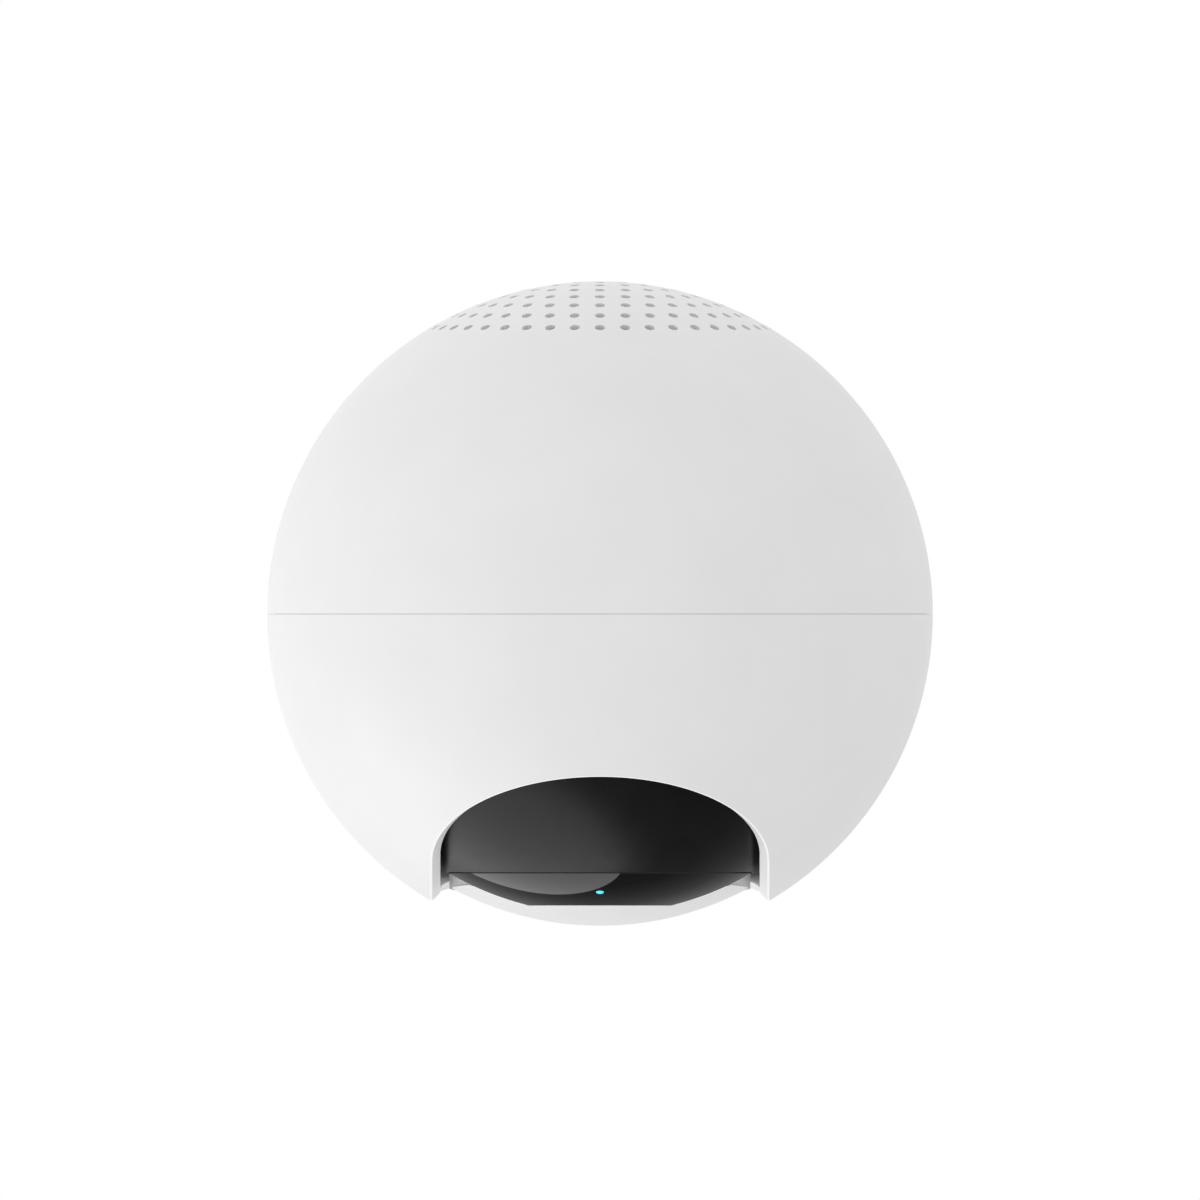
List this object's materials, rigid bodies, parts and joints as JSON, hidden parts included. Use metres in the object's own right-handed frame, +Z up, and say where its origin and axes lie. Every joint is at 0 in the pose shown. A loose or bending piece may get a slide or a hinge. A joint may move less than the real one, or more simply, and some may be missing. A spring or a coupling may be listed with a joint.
{
  "type": "smart speaker",
  "caption": "Ball-shaped smart speaker: a white shell with sound holes tilts on an inner ball that has a gloss black sensor window with a status light.",
  "frame": {"origin": "on the table under the centre of the ball, at the bottom of the foot", "axes": "+Z up, -Y to the front where the sensor window faces, +X to the viewer's right seen from the front"},
  "size_m": [0.1, 0.1, 0.0968],
  "materials": {
    "shell_white": "fine matt moulded white",
    "cap_white": "fine matt moulded white",
    "mesh_grey": "fine acoustic cloth",
    "cover_black": "satin black",
    "window_black": "gloss black, lets infrared through",
    "light_cyan": "clear light pipe lit cyan",
    "frame_black": "glass-filled nylon",
    "steel": "zinc-plated steel",
    "tin": "tinned steel",
    "ferrite": "sintered ferrite",
    "paper": "pressed paper",
    "rubber_black": "butyl rubber",
    "rubber_white": "white silicone",
    "foam_black": "closed-cell foam tape",
    "cloth": "impregnated cotton",
    "copper": "enamelled copper wire",
    "board_green": "glass-epoxy board with solder mask",
    "nylon": "acetal",
    "cell_blue": "sleeved lithium cell",
    "wire_red": "insulated wire"
  },
  "bodies": {
    "base": {"core_cover": "cover_black", "core_cap": "cap_white", "counterweight": "steel", "foot_pad": "rubber_white", "sensor_window": "window_black", "light_pipe": "light_cyan", "light_board": "board_green", "presence_sensor": "frame_black", "main_board": "board_green", "shield_can": "tin", "battery": "cell_blue", "battery_pad": "foam_black", "harness": "wire_red", "pivot_bush_left": "nylon", "pivot_bush_right": "nylon", "board_screw_1": "steel", "board_screw_2": "steel", "board_screw_3": "steel", "board_screw_4": "steel", "cap_screw_1": "steel", "cap_screw_2": "steel", "cap_screw_3": "steel"},
    "head": {"upper_shell": "shell_white", "lower_shell": "shell_white", "grille_mesh": "mesh_grey", "baffle": "frame_black", "driver_basket": "steel", "driver_gasket": "rubber_black", "top_plate": "steel", "magnet": "ferrite", "yoke": "steel", "surround": "rubber_black", "spider": "cloth", "mic_board_left": "board_green", "mic_board_right": "board_green", "io_board": "board_green", "io_screw_left": "steel", "io_screw_right": "steel", "inlet_socket": "tin", "button_switch": "frame_black", "pivot_pin_left": "steel", "pivot_pin_right": "steel", "friction_washer_left": "nylon", "friction_washer_right": "nylon", "baffle_screw_1": "steel", "driver_screw_1": "steel", "baffle_screw_2": "steel", "driver_screw_2": "steel", "baffle_screw_3": "steel", "driver_screw_3": "steel", "baffle_screw_4": "steel", "driver_screw_4": "steel"},
    "cone_assembly": {"cone": "paper", "dust_cap": "paper", "coil_former": "nylon", "voice_coil": "copper"},
    "button": {"push_button": "rubber_white"}
  },
  "joints": [
    {"name": "head_tilt", "type": "hinge", "parent": "base", "child": "head", "pos_m": [0, 0, 0.0468], "axis": [1, 0, 0], "range_deg": [-8, 36]},
    {"name": "cone_travel", "type": "slide", "parent": "head", "child": "cone_assembly", "axis": [0, 0, 1], "range_m": [-0.0008, 0.0008], "stiffness_N_per_m": 800, "deforming": ["surround", "spider"]},
    {"name": "button_press", "type": "slide", "parent": "head", "child": "button", "axis": [0, -1, 0], "range_m": [0, 0.0005], "stiffness_N_per_m": 500, "springref_m": -0.001}
  ]
}
